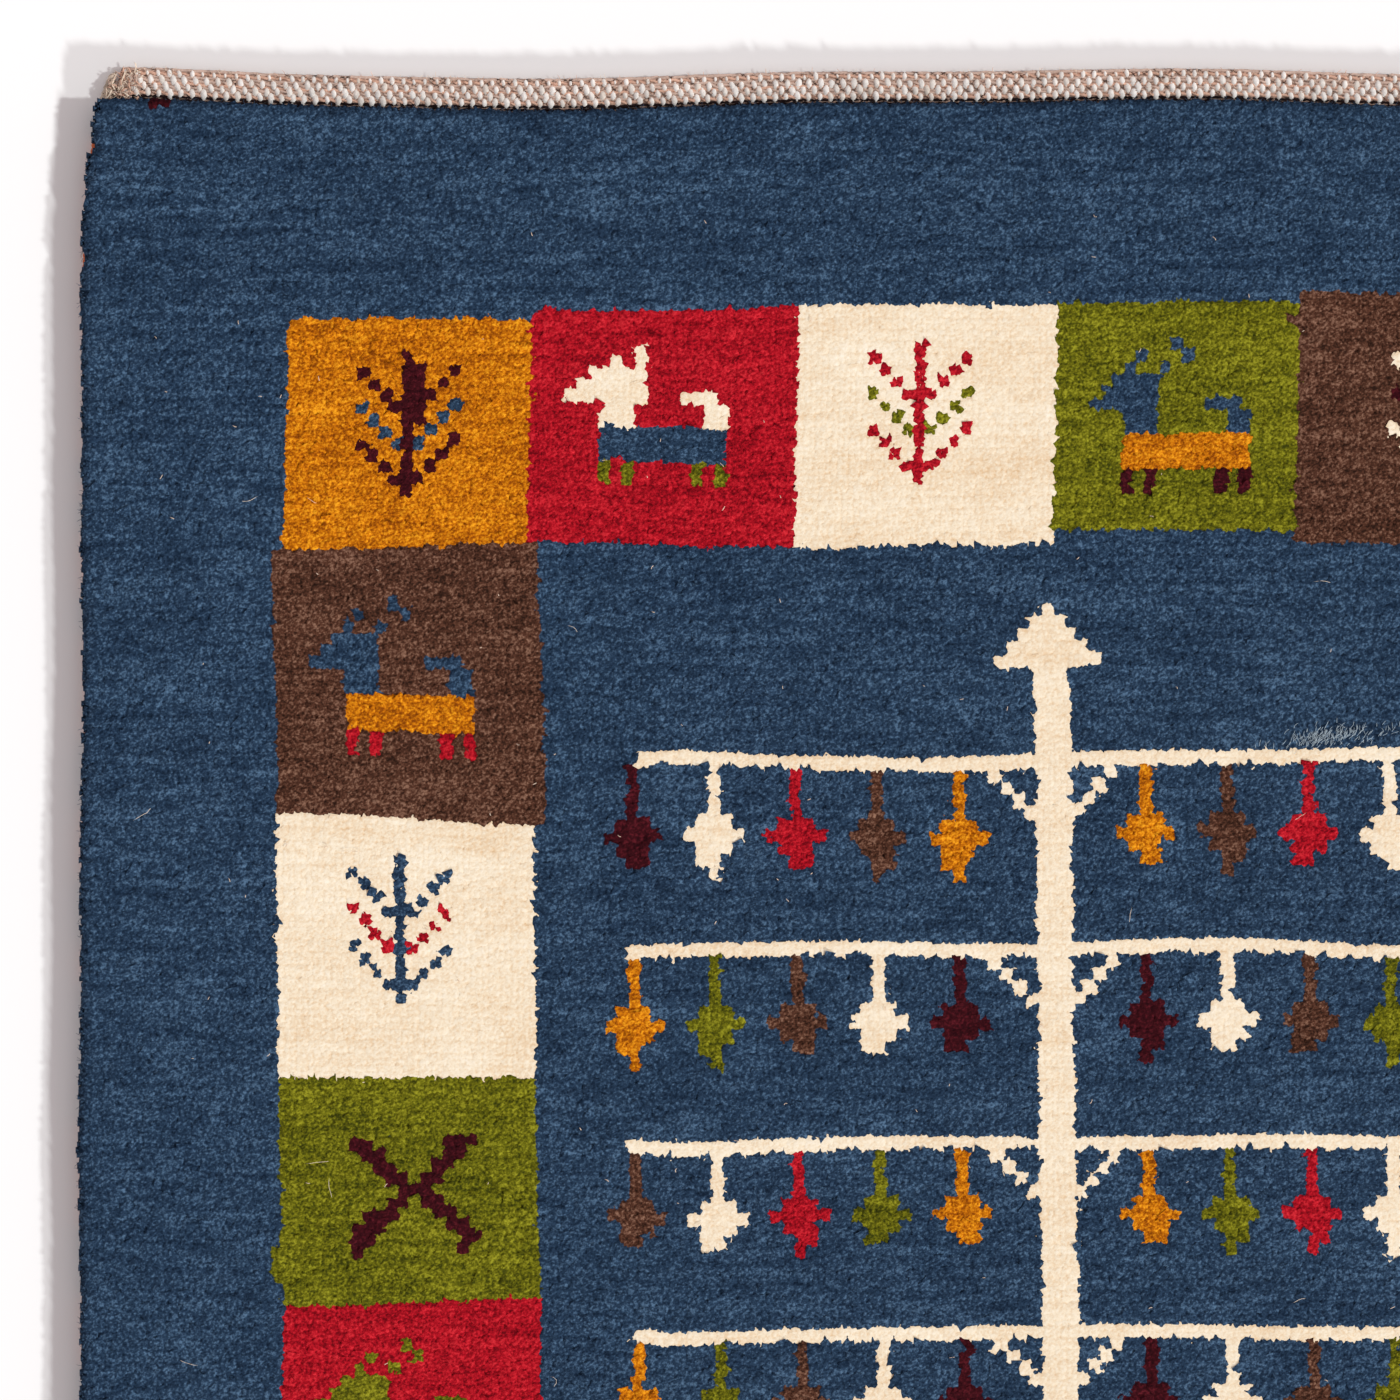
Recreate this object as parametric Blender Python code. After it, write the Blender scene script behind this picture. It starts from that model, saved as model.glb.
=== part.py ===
"""Hand-knotted gabbeh rug, 0.60 m by 0.90 m, lying flat with its pile up.

X runs across the rug, Y along its warps, and Z up. The origin is on the floor
under the middle of the rug. One woven ground carries the knots and ends in a
flat-woven band at each end, the pile stands on it, and a cord overcast with
yarn binds each side.
"""

import math

import bmesh
import bpy

# The rug's driving sizes, in metres.
LENGTH = 0.900
WIDTH = 0.604
GROUND_THICKNESS = 0.0030
PILE_TOP = 0.0120
GAP = 0.0003

# The ends: a flat-woven band, raised in one rib for each pass of its weft.
BAND_LENGTH = 0.0093
BAND_RIBS = 4
RIB_DEPTH = 0.0006
RIB_ROWS = ((0.0, 1.0), (0.30, 0.0), (0.70, 0.0))  # place along a rib, depth below its crest

# The sides draw in towards the corners, where the last wefts were beaten tight.
DRAW_IN = 0.0077
DRAW_IN_REACH = 0.025

# How far each edge strays from straight: amplitude, wavelength, place of a crest.
SIDE_WAVES = {
    -1: ((0.0005, 0.310, 0.115), (0.0003, 0.093, 0.021)),
    1: ((0.0007, 0.270, -0.080), (0.0003, 0.101, 0.040)),
}
END_WAVES = {
    -1: ((0.0011, 0.340, 0.060), (0.0004, 0.120, -0.015)),
    1: ((0.0013, 0.400, 0.013), (0.0004, 0.130, 0.045)),
}

# The pile: rounded shoulders, sides that lean out over the selvedge, a top that is never quite level.
SHOULDER = 0.0045
SHOULDER_STEPS = (0.0, 0.0008, 0.0022, 0.0045)
PILE_SIDE = ((0.0000, 0.0066), (0.0006, 0.0048), (0.0016, 0.0033))  # distance in, height
PILE_PITCH = 0.018
LUMP_DEPTH = 0.0004
LUMPS = ((0.131, 0.083, 0.4), (0.047, 0.061, 2.1), (0.209, 0.157, 4.0))  # wavelengths x and y, phase

# The ground under the pile, and how far in from the edge it stops.
GROUND_PITCH_ACROSS = 0.025
GROUND_PITCH_ALONG = 0.036

# The selvedge: an oval cord, flat where it lies on the floor.
SELVEDGE_WIDTH = 0.0046
SELVEDGE_INSET = 0.0003
SELVEDGE_SIDES = 10
SELVEDGE_PITCH = 0.012
SELVEDGE_SWELL = 0.0002
SELVEDGE_SWELL_LENGTH = 0.031

COLOURS = {
    "woven_ground": (0.62, 0.52, 0.44),
    "knotted_pile": (0.026, 0.055, 0.100),
    "selvedge_left": (0.40, 0.13, 0.05),
    "selvedge_right": (0.40, 0.13, 0.05),
}
WOOL_ROUGHNESS = 0.95


def waves(place, table):
    """The sum of the waves in a table at one place."""
    return sum(size * math.cos(2 * math.pi * (place - crest) / length) for size, length, crest in table)


def side_x(y, side):
    """Where the rug's left (-1) or right (1) edge lies at this y."""
    from_end = max(LENGTH / 2 - abs(y), 0.0)
    draw_in = DRAW_IN * math.exp(-from_end / DRAW_IN_REACH)
    return side * (WIDTH / 2 - draw_in + waves(y, SIDE_WAVES[side]))


def end_y(x, end):
    """Where the rug's lower (-1) or upper (1) end lies at this x."""
    strays = sum(size for size, _, _ in END_WAVES[end])
    return end * (LENGTH / 2 - strays + waves(x, END_WAVES[end]))


def place(across, along, side_inset, end_inset):
    """The point a share of the way across and along the rug, inside its edges by the insets."""
    y = LENGTH * (along - 0.5)
    left = side_x(y, -1) + side_inset
    right = side_x(y, 1) - side_inset
    x = left + (right - left) * across
    low = end_y(x, -1) + end_inset
    high = end_y(x, 1) - end_inset
    return x, low + (high - low) * along


def shares(length, edge_steps, pitch):
    """Shares of a length: the edge steps at both ends, and even steps of about the pitch between."""
    inner = length - 2 * edge_steps[-1]
    count = max(round(inner / pitch), 1)
    middle = [edge_steps[-1] + inner * step / count for step in range(1, count)]
    mirrored = [length - step for step in reversed(edge_steps)]
    return [step / length for step in (*edge_steps, *middle, *mirrored)]


def colour(obj, name):
    """Give the object a wool material of its own."""
    material = bpy.data.materials.new(name)
    material.use_nodes = True
    shader = material.node_tree.nodes["Principled BSDF"]
    shader.inputs["Base Color"].default_value = (*COLOURS[name], 1.0)
    shader.inputs["Roughness"].default_value = WOOL_ROUGHNESS
    shader.inputs["Metallic"].default_value = 0.0
    obj.data.materials.append(material)


def finish(bm, name):
    """Turn the mesh into a named, coloured object, shaded smooth but for its sharp edges."""
    bmesh.ops.recalc_face_normals(bm, faces=bm.faces)
    mesh = bpy.data.meshes.new(name)
    bm.to_mesh(mesh)
    bm.free()
    mesh.shade_smooth()
    mesh.set_sharp_from_angle(angle=math.radians(50))
    obj = bpy.data.objects.new(name, mesh)
    bpy.context.scene.collection.objects.link(obj)
    colour(obj, name)
    return obj


def border(across, along):
    """The grid positions round a slab's edge, in order."""
    last_column, last_row = len(across) - 1, len(along) - 1
    return (
        [(column, 0) for column in range(last_column)]
        + [(last_column, row) for row in range(last_row)]
        + [(column, last_row) for column in range(last_column, 0, -1)]
        + [(0, row) for row in range(last_row, 0, -1)]
    )


def slab(name, across, along, insets, height, sides):
    """A flat piece: a grid for its top, rings down its sides, and one face underneath.

    insets are the distances in from the rug's sides and ends, height gives the top's z at
    a grid point, and sides lists (distance in, z) for each ring below the top.
    """
    bm = bmesh.new()
    side_inset, end_inset = insets
    top = []
    for share_along in along:
        row = []
        for share_across in across:
            x, y = place(share_across, share_along, side_inset, end_inset)
            row.append(bm.verts.new((x, y, height(x, y, share_across, share_along))))
        top.append(row)
    for lower, upper in zip(top, top[1:]):
        for column in range(len(across) - 1):
            bm.faces.new((lower[column], lower[column + 1], upper[column + 1], upper[column]))
    edge = border(across, along)
    above = [top[row][column] for column, row in edge]
    for distance, z in sides:
        ring = [
            bm.verts.new((*place(across[column], along[row], side_inset + distance, end_inset + distance), z))
            for column, row in edge
        ]
        for step in range(len(edge)):
            after = (step + 1) % len(edge)
            bm.faces.new((above[step], ring[step], ring[after], above[after]))
        above = ring
    bm.faces.new(reversed(above))
    return finish(bm, name)


def shoulder_drop(distance):
    """How far the pile's rounded shoulder lies below its top, this far in from its edge."""
    if distance >= SHOULDER:
        return 0.0
    return SHOULDER * (1 - math.sqrt(1 - (1 - distance / SHOULDER) ** 2))


def knotted_pile():
    """The pile, from just above the ground to the clipped ends of its yarn."""
    pile_length = LENGTH - 2 * BAND_LENGTH
    across = shares(WIDTH, SHOULDER_STEPS, PILE_PITCH)
    along = shares(pile_length, SHOULDER_STEPS, PILE_PITCH)

    def height(x, y, share_across, share_along):
        from_side = WIDTH * min(share_across, 1 - share_across)
        from_end = pile_length * min(share_along, 1 - share_along)
        lump = sum(
            math.sin(2 * math.pi * x / long_x + phase) * math.sin(2 * math.pi * y / long_y + phase)
            for long_x, long_y, phase in LUMPS
        )
        drop = math.hypot(shoulder_drop(from_side), shoulder_drop(from_end))
        level = PILE_TOP - LUMP_DEPTH * (0.5 + 0.5 * lump / len(LUMPS))
        return max(level - drop, PILE_SIDE[0][1] + GAP)

    return slab("knotted_pile", across, along, (0.0, BAND_LENGTH), height, PILE_SIDE)


def woven_ground():
    """The warps and wefts as one cloth, with its ribbed flat-woven band at each end."""
    inset = SELVEDGE_INSET + SELVEDGE_WIDTH + GAP
    rib = BAND_LENGTH / BAND_RIBS
    rows = [(rib * (number + share), depth) for number in range(BAND_RIBS) for share, depth in RIB_ROWS]
    rows.append((BAND_LENGTH, 1.0))
    depth_at = {round(distance / LENGTH, 9): depth for distance, depth in rows}
    across = shares(WIDTH, (0.0,), GROUND_PITCH_ACROSS)
    along = shares(LENGTH, tuple(distance for distance, _ in rows), GROUND_PITCH_ALONG)

    def height(x, y, share_across, share_along):
        share = round(min(share_along, 1 - share_along), 9)
        return GROUND_THICKNESS - RIB_DEPTH * depth_at.get(share, 0.0)

    return slab("woven_ground", across, along, (inset, 0.0), height, ((0.0, 0.0),))


def selvedge(name, side):
    """The overcast cord along one side, swept between the rug's two ends."""
    bm = bmesh.new()
    edge = side_x(0.0, side) - side * (SELVEDGE_INSET + SELVEDGE_WIDTH / 2)
    low, high = end_y(edge, -1), end_y(edge, 1)
    count = round((high - low) / SELVEDGE_PITCH)
    tallest = math.cos(math.pi / SELVEDGE_SIDES)
    rings = []
    for step in range(count + 1):
        y = low + (high - low) * step / count
        swell = SELVEDGE_SWELL * math.sin(2 * math.pi * y / SELVEDGE_SWELL_LENGTH) ** 2
        half_width = SELVEDGE_WIDTH / 2 - swell
        middle = side_x(y, side) - side * (SELVEDGE_INSET + SELVEDGE_WIDTH / 2)
        ring = []
        for corner in range(SELVEDGE_SIDES):
            angle = 2 * math.pi * (corner + 0.5) / SELVEDGE_SIDES - math.pi / 2
            x = middle + half_width * math.cos(angle)
            z = GROUND_THICKNESS / 2 * (1 + math.sin(angle) / tallest)
            ring.append(bm.verts.new((x, y, max(z, 0.0))))
        rings.append(ring)
    for near, far in zip(rings, rings[1:]):
        for corner in range(SELVEDGE_SIDES):
            after = (corner + 1) % SELVEDGE_SIDES
            bm.faces.new((near[corner], near[after], far[after], far[corner]))
    bm.faces.new(reversed(rings[0]))
    bm.faces.new(rings[-1])
    return finish(bm, name)


def main():
    for obj in list(bpy.data.objects):
        bpy.data.objects.remove(obj, do_unlink=True)
    woven_ground()
    knotted_pile()
    selvedge("selvedge_left", -1)
    selvedge("selvedge_right", 1)


main()
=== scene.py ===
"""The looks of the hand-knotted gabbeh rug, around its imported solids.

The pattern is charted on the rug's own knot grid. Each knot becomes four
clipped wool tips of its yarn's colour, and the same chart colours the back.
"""

import math

import bpy
import numpy as np
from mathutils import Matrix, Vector


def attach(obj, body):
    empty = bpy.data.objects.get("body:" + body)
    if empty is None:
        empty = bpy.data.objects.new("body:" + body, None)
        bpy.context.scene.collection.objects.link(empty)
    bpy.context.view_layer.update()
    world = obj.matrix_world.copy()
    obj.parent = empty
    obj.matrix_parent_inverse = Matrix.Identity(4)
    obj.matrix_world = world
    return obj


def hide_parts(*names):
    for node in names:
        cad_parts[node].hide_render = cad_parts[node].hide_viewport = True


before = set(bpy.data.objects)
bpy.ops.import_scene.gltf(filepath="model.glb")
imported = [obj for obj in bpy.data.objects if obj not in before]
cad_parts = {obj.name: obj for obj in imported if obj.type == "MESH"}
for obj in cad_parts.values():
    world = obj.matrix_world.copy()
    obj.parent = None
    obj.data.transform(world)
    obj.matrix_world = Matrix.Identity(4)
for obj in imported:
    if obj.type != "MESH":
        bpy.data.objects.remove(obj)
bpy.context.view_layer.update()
rng = np.random.default_rng(20)

# The rug's sizes, in metres, as its solids have them.
LENGTH = 0.900
WIDTH = 0.604
GROUND_THICKNESS = 0.0030
PILE_TOP = 0.0120
BAND_LENGTH = 0.0093
DRAW_IN = 0.0077
DRAW_IN_REACH = 0.025
SIDE_WAVES = {
    -1: ((0.0005, 0.310, 0.115), (0.0003, 0.093, 0.021)),
    1: ((0.0007, 0.270, -0.080), (0.0003, 0.101, 0.040)),
}
END_WAVES = {
    -1: ((0.0011, 0.340, 0.060), (0.0004, 0.120, -0.015)),
    1: ((0.0013, 0.400, 0.013), (0.0004, 0.130, 0.045)),
}
SHOULDER = 0.0045
LUMP_DEPTH = 0.0004
LUMPS = ((0.131, 0.083, 0.4), (0.047, 0.061, 2.1), (0.209, 0.157, 4.0))
SELVEDGE_WIDTH = 0.0046
SELVEDGE_INSET = 0.0003
GAP = 0.0003

# The knot grid. Row 0 is at the end of the tree's tip, column 0 at the left side.
COLUMNS = 168
ROWS = 234
TIP_OFFSETS = ((-0.25, -0.21), (0.25, -0.21), (-0.25, 0.21), (0.25, 0.21))
TIP_INSET = 0.0003
TIP_REACH_ACROSS = 0.00235
TIP_REACH_ALONG = 0.00250
TIP_HEIGHT = 0.0010
TIP_STRAY = 0.00022
TIP_UNEVEN = 0.00010
TIP_SIZES = (0.88, 1.12)
TIP_HEIGHTS = (0.8, 1.25)
NAP_LEAN = -0.16
NAP_SPREAD = 0.13
NAP_FOLLOWS_SLOPE = 0.6
# How far in the pile's edges are felt, then a tip's size at the edge and its gain further in.
EDGE_ZONE = 0.0030
EDGE_SIZE = (0.55, 0.45)
PILE_START = BAND_LENGTH + 0.0007
# How far in from the pile's ends the painted shade along them reaches.
END_SHADE = 0.0013
SLOPE_STEP = 0.0004
ROOTS_INSET = 0.0024
ROOTS_BELOW_TIPS = 0.0014
ROOTS_GRID = (41, 61)
# The outermost tufts: their spacing, where their rows stop short, and how far each strays.
RIM_PITCH = 0.0016
RIM_MARGINS = (0.001, 0.008)
RIM_STRAYS = (0.00012, 0.00014, 0.0003)
# Points up an outermost tuft: distance in from the edge, height.
RIM_STATIONS = ((0.0026, 0.0032), (0.0012, 0.0052), (0.0007, 0.0078), (0.0014, 0.0104))
RIM_RADII = (0.0008, 0.0010, 0.0010)
# The inner layer of outermost tufts: how much further in and higher it stands.
RIM_LAYER = (0.0008, 0.0006)
# The height below which these tufts are darkened with painted shade, and the depth over which it deepens.
RIM_SHADE = (0.009, 0.006)

# The cloth: how far it stays from the selvedges' solids, and how far its top lies below its own.
CLOTH_GAP = 0.0002
CLOTH_BED = 0.0007

# The flat-woven ends: rows of warps, their ovals' half sizes, their bed and crest, and the wefts.
BAND_ROWS = 4
BAND_PITCH = 0.0083 / BAND_ROWS
BAND_START = 0.0003
BAND_INSET = SELVEDGE_INSET + SELVEDGE_WIDTH + 0.0006
OVAL = (0.00112, 0.00182)
OVAL_HEIGHTS = (0.0020, 0.0032)
WEFT_RADIUS = 0.00055
WEFT_HEIGHT = 0.0023

# The selvedge's overcasting: a turn of yarn, how far turns slant, how deep and uneven the grooves are
# between them, how many half turns keep one colour, and the share of rust ones.
OVERCAST_TURN = 0.0018
OVERCAST_SLANT = 0.0006
OVERCAST_GROOVE = (0.13, 0.025)
OVERCAST_RUN = 12
OVERCAST_RUSTY = 0.55
# Its ends: how far short of the rug's they stop, the taper's length, size and gain, and the bare yarn.
CORD_SHORT = 0.0016
CORD_TAPER = (0.006, 0.55, 0.45)
BARE_END = 0.013

# How far the end rises at the corner that the photograph shows, where from the left side, and its reach.
CORNER_RISE = (0.0024, 0.020, 0.038)

# How uneven the side tufts are: a size and two wavelengths, then a finer size and wavelength.
RAGGED = (0.00038, 0.0310, 0.0117)
RAGGED_FINE = (0.00024, 0.0053)

# How the pattern wanders between the straight edges. Its columns sway in waves: size, wavelength.
WANDER_START = 0.2983
COLUMN_SWAYS = ((-0.00185, 0.4625), (-0.00045, 0.1542))
# The trunk shifts across at one place: size, x, reach.
TRUNK_SHIFT = (0.0009, -0.002, 0.014)
# Its rows sway down the rug and arch across it: size, start, wavelength.
ROW_SWAY = (-0.00154, 0.0678, 0.3237)
ROW_ARCH = (0.0011, -0.05, 0.62)
# They ripple aslant, with a size and wavelengths in x and y, and rise at the left: size, x, reach.
ROW_RIPPLE = (0.0005, 0.13, 0.22)
LEFT_LIFT = (0.00125, -0.127, 0.028)
# The left squares tilt by turns: slope, x, reach, then the crest and wavelength in y.
TILT = (0.057, -0.206, 0.06)
TILT_WAVE = (0.195, 0.24)
# Rows bend right of the trunk, and spread apart left of it: size, y, reach, then x and reach.
ROW_BENDS = ((0.0030, 0.238, 0.03), (-0.0007, 0.170, 0.03))
BENDS_X = (0.100, 0.035)
SPREAD = (0.036, 0.143, 0.12)
SPREAD_X = (-0.122, 0.026)

# The photograph's frame, for the camera and for places given in its pixels.
PHOTO_SIZE = 1400
PHOTO_SCALE = 0.60 / 1946
PHOTO_TRUNK_X = 1058
PHOTO_MIDDLE_Y = 1525.5
PHOTO_RUBBED = (1332, 738)

# The studio: each sun's slopes and strength, its softness in degrees, and the light all round.
SUNS = {"key": ((1.25, 0.1), 0.30), "low_key": ((1.0, 1.7), 0.29)}
SUN_SOFTNESS = 4
SUN_COLOUR = (0.97, 1.0, 0.99)
SURROUND_COLOUR = (1.0, 0.90, 0.91, 1.0)
SURROUND_STRENGTH = 0.56
FLOOR_COLOUR = (0.92, 0.92, 0.92, 1.0)
FLOOR_SIZE = 8.0
FLOOR_Z = -0.0004
CAMERA_DISTANCE = 2.2

# The pile yarns' colours as sRGB numbers from 0 to 255: dark, middle, light.
YARNS = {
    "blue": ((15, 31, 50), (38, 58, 81), (82, 110, 138)),
    "ivory": ((218, 186, 146), (236, 222, 197), (248, 240, 225)),
    "gold": ((128, 62, 2), (192, 110, 6), (236, 160, 30)),
    "red": ((100, 2, 14), (166, 14, 30), (208, 44, 54)),
    "green": ((50, 54, 6), (99, 98, 13), (148, 146, 36)),
    "brown": ((39, 22, 15), (81, 49, 36), (134, 100, 82)),
    "maroon": ((26, 2, 8), (56, 10, 18), (98, 28, 38)),
}
# How strongly each yarn's dye streaks and how strongly its fibres show.
DYE = {
    "blue": (0.27, 0.90),
    "ivory": (0.46, 0.46),
    "gold": (0.26, 1.1),
    "red": (0.24, 0.95),
    "green": (0.44, 1.0),
    "brown": (0.28, 1.0),
    "maroon": (0.10, 0.7),
}
# Each yarn's tips: how steep and uneven they are, how far they stand proud, how dark the painted shade at
# their roots is.
BODY = {name: (1.0, 1.0, 0.0, 0.45) for name in YARNS} | {"ivory": (0.38, 0.2, -0.00018, 1.6)}
# The other threads: warps, wefts, selvedges and loose hairs, then the back's wefts and bands.
CREAM = (250, 230, 208)
RUST = (236, 192, 168)
WALNUT = (222, 194, 178)
# The wefts under the pile's edge: a dark yarn, partly its own colour and partly painted shade along the
# pile's edge.
DARK_WEFT_AND_SHADE = (40, 27, 27)
OVERCAST_RUST = (190, 100, 62)
KEMP = (214, 190, 170)
RUBBED = (180, 196, 206)
LOOSE_BLUE = (66, 90, 116)
BACK_WEFT = (70, 52, 46)
BACK_BAND = (210, 178, 160)
# Noises on the yarns, in cycles a metre.
FIBRES = 1280.0
CLUMPS = 480.0
ROW_LINES = 290.0
DYE_STREAKS = 60.0
MOTTLE = 34.0
SPUN_GRAIN = 1300.0
SPUN_PATCHES = 180.0
YARN_NAMES = tuple(YARNS)
NUMBER = {name: number for number, name in enumerate(YARN_NAMES)}

# The motifs, one character a knot. Letters stand for yarns that each square names.
PLANT_FOOT = ("..s.m.s..", "m..sms..m", ".m..m..m.", "..m.m.m..", "...mmm...", "....m....")
ANIMAL_BODY = ("...hhh......hh",) * 2 + ("...bbbbbbbbbbb",) * 3 + ("...l.l.....l.l",) * 2
MOTIFS = {
    "stout_plant": (
        "....m....",
        "m...mm..m",
        ".m..mm.m.",
        "..m.mmm..",
        "s..mmm..s",
        ".s..mm.s.",
    ) + PLANT_FOOT,
    "slender_plant": (
        "....m....",
        "m...m...m",
        ".m..m..m.",
        "..m.m.m..",
        "s..mmm..s",
        ".s..m..s.",
    ) + PLANT_FOOT,
    "goat": (
        "......h.......",
        "....h.h.......",
        "..hhhhh.......",
        ".hhhhhh.......",
        "hhhhhhh...hhh.",
    ) + ANIMAL_BODY,
    "stag": (
        ".......h......",
        "....h...h.....",
        "...h..h.......",
        "..hhhh........",
        ".hhhhh........",
        "hhhhhh....hhh.",
    ) + ANIMAL_BODY,
    "cross": (
        "mm......mmm",
        ".mm.....mm.",
        "..mm...mm..",
        "...mm.mm...",
        "....mmm....",
        "...mm.mm...",
        ".mmm...mm..",
        "mmm.....mm.",
        "mm.......mm",
        "m........m.",
    ),
}
LEAF_TOP = ("..x..",) * 4 + (".xxx.", "xxxxx", ".xxx.")
LEAVES = tuple(LEAF_TOP + tip for tip in ((".xx..", "..x.."), ("..xx.",), ("..xx.", "..x.."), (".xx..",)))

# The border: rows or columns from and to, ground, motif, its first row and column, its letters' yarns.
TOP_EDGES = (18, 39, 62, 84, 105, 127, 150)
SIDE_EDGES = (37, 59, 80, 99, 118, 138, 157, 177, 197)
TOP_SQUARES = (
    (18, 37, "gold", "stout_plant", (21, 24), "m:maroon s:blue"),
    (17, 37, "red", "goat", (20, 42), "h:ivory b:blue l:green"),
    (17, 37, "ivory", "slender_plant", (20, 68), "m:red s:green"),
    (17, 36, "green", "stag", (20, 87), "h:blue b:gold l:maroon"),
    (16, 37, "brown", "slender_plant", (20, 113), "m:ivory s:maroon"),
    (17, 37, "gold", "cross", (22, 133), "m:red"),
)
LEFT_SQUARES = (
    (17, 40, "brown", "stag", (41, 20), "h:blue b:gold l:red"),
    (17, 39, "ivory", "slender_plant", (62, 23), "m:blue s:red"),
    (17, 39, "green", "cross", (85, 23), "m:maroon"),
    (17, 39, "red", "stag", (102, 20), "h:green b:ivory l:blue"),
    (17, 39, "gold", "slender_plant", (122, 24), "m:maroon s:green"),
    (17, 40, "brown", "goat", (141, 20), "h:ivory b:red l:gold"),
    (18, 39, "ivory", "cross", (162, 23), "m:red"),
    (17, 39, "green", "stout_plant", (181, 24), "m:red s:gold"),
)
RIGHT_SQUARES = (
    (129, 151, "ivory", "stag", (42, 132), "h:maroon b:green l:red"),
    (129, 151, "green", "slender_plant", (63, 136), "m:ivory s:red"),
    (128, 151, "red", "cross", (85, 134), "m:gold"),
    (129, 150, "brown", "goat", (102, 132), "h:ivory b:green l:gold"),
    (129, 151, "ivory", "slender_plant", (122, 136), "m:green s:red"),
    (129, 151, "gold", "stag", (141, 132), "h:blue b:red l:maroon"),
    (129, 150, "green", "stout_plant", (161, 135), "m:maroon s:ivory"),
    (129, 151, "brown", "slender_plant", (181, 136), "m:ivory s:gold"),
)
BOTTOM_SQUARES = (
    (197, 216, "red", "slender_plant", (200, 24), "m:ivory s:blue"),
    (197, 216, "gold", "stag", (200, 42), "h:maroon b:blue l:red"),
    (197, 217, "brown", "cross", (202, 67), "m:ivory"),
    (197, 216, "ivory", "goat", (200, 87), "h:red b:gold l:green"),
    (197, 217, "green", "slender_plant", (201, 112), "m:red s:gold"),
    (197, 216, "red", "stout_plant", (200, 134), "m:maroon s:ivory"),
)

# The tree. Its leaves run from the branch's outer end to the trunk, and mirror on the right.
TRUNK_MIDDLE = 83
TRUNK_TOP = 42
TRUNK_FOOT = 190
TRUNK_END = 197
BARBS = 5
BRANCH_END = 120
LEAF_COLUMNS_LEFT = (47, 54, 61, 68, 75)
LEAF_COLUMNS_RIGHT = (119, 112, 105, 98, 91)
BRANCHES = (
    (54, 48, "maroon ivory red brown gold"),
    (69, 47, "gold green brown ivory maroon"),
    (85, 47, "brown ivory red green gold"),
    (101, 47, "gold green brown ivory maroon"),
    (117, 48, "maroon ivory red green brown"),
    (132, 48, "red green gold ivory maroon"),
    (148, 47, "brown ivory red green gold"),
    (163, 48, "gold green brown ivory red"),
    (179, 47, "maroon ivory green brown gold"),
)
BRACE = ((1, 78, 88), (2, 79, 87), (3, 80, 86), (4, 81, 85))

# Spots at the left side where the pile is thin and the selvedge shows: y, depth, half-length.
THIN_SPOTS = (
    (0.4260, 0.0014, 0.0026),
    (0.4123, 0.0010, 0.0015),
    (0.3910, 0.0014, 0.0024),
    (0.3195, 0.0012, 0.0022),
)


def linear(colour):
    """An sRGB colour from 0 to 255 as linear light."""
    share = np.asarray(colour, float) / 255
    return np.where(share <= 0.04045, share / 12.92, ((share + 0.055) / 1.055) ** 2.4)


def photo_x(pixel):
    return (pixel - PHOTO_TRUNK_X) * PHOTO_SCALE


def photo_y(pixel):
    return (PHOTO_MIDDLE_Y - pixel) * PHOTO_SCALE


# The outline, as the solids have it but for the corner's rise, the thin spots and the ragged sides.


def bell(distance, reach):
    """1 at no distance, falling away smoothly past the reach."""
    return np.exp(-((distance / reach) ** 2))


def waves(place, table):
    return sum(size * np.cos(2 * math.pi * (place - crest) / length) for size, length, crest in table)


def side_x(y, side):
    """Where the rug's left (-1) or right (1) edge lies at y."""
    from_end = np.maximum(LENGTH / 2 - np.abs(y), 0.0)
    draw_in = DRAW_IN * np.exp(-from_end / DRAW_IN_REACH)
    return side * (WIDTH / 2 - draw_in + waves(y, SIDE_WAVES[side]))


def end_y(x, end):
    """Where the rug's lower (-1) or upper (1) end lies at x."""
    strays = sum(size for size, _, _ in END_WAVES[end])
    height, from_side, reach = CORNER_RISE
    rise = height * bell(x + WIDTH / 2 - from_side, reach) * (end > 0)
    return end * (LENGTH / 2 - strays + waves(x, END_WAVES[end]) + rise)


def place(across, along, side_inset, end_inset):
    """The point a share of the way across and along the rug, inside its edges by the insets."""
    y = LENGTH * (along - 0.5)
    left = side_x(y, -1) + side_inset
    right = side_x(y, 1) - side_inset
    x = left + (right - left) * across
    low = end_y(x, -1) + end_inset
    high = end_y(x, 1) - end_inset
    return x, low + (high - low) * along


def thinning(y):
    """How far the left side's pile is drawn in at its thin spots."""
    return sum(depth * bell(y - spot, half) for spot, depth, half in THIN_SPOTS)


def ragged(y, side):
    """How far past the rug's even outline its tufts end along a side."""
    along = 2 * math.pi * (y + 0.3 * side)
    size, long, short = RAGGED
    fine_size, shortest = RAGGED_FINE
    uneven = size * np.sin(along / long + 1.3) * np.sin(along / short)
    return uneven + fine_size * np.sin(along / shortest + 0.7)


def shoulder_drop(distance):
    inward = np.clip(1 - distance / SHOULDER, 0.0, 0.985)
    return SHOULDER * (1 - np.sqrt(1 - inward**2))


def pile_height(x, y):
    """The pile's top surface at a point."""
    from_side = np.minimum(x - side_x(y, -1) - thinning(y), side_x(y, 1) - x)
    from_end = np.minimum(y - end_y(x, -1), end_y(x, 1) - y) - BAND_LENGTH
    lump = sum(
        np.sin(2 * math.pi * x / long_x + phase) * np.sin(2 * math.pi * y / long_y + phase)
        for long_x, long_y, phase in LUMPS
    )
    drop = np.hypot(shoulder_drop(from_side), shoulder_drop(from_end))
    return PILE_TOP - LUMP_DEPTH * (0.5 + 0.5 * lump / len(LUMPS)) - drop


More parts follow.
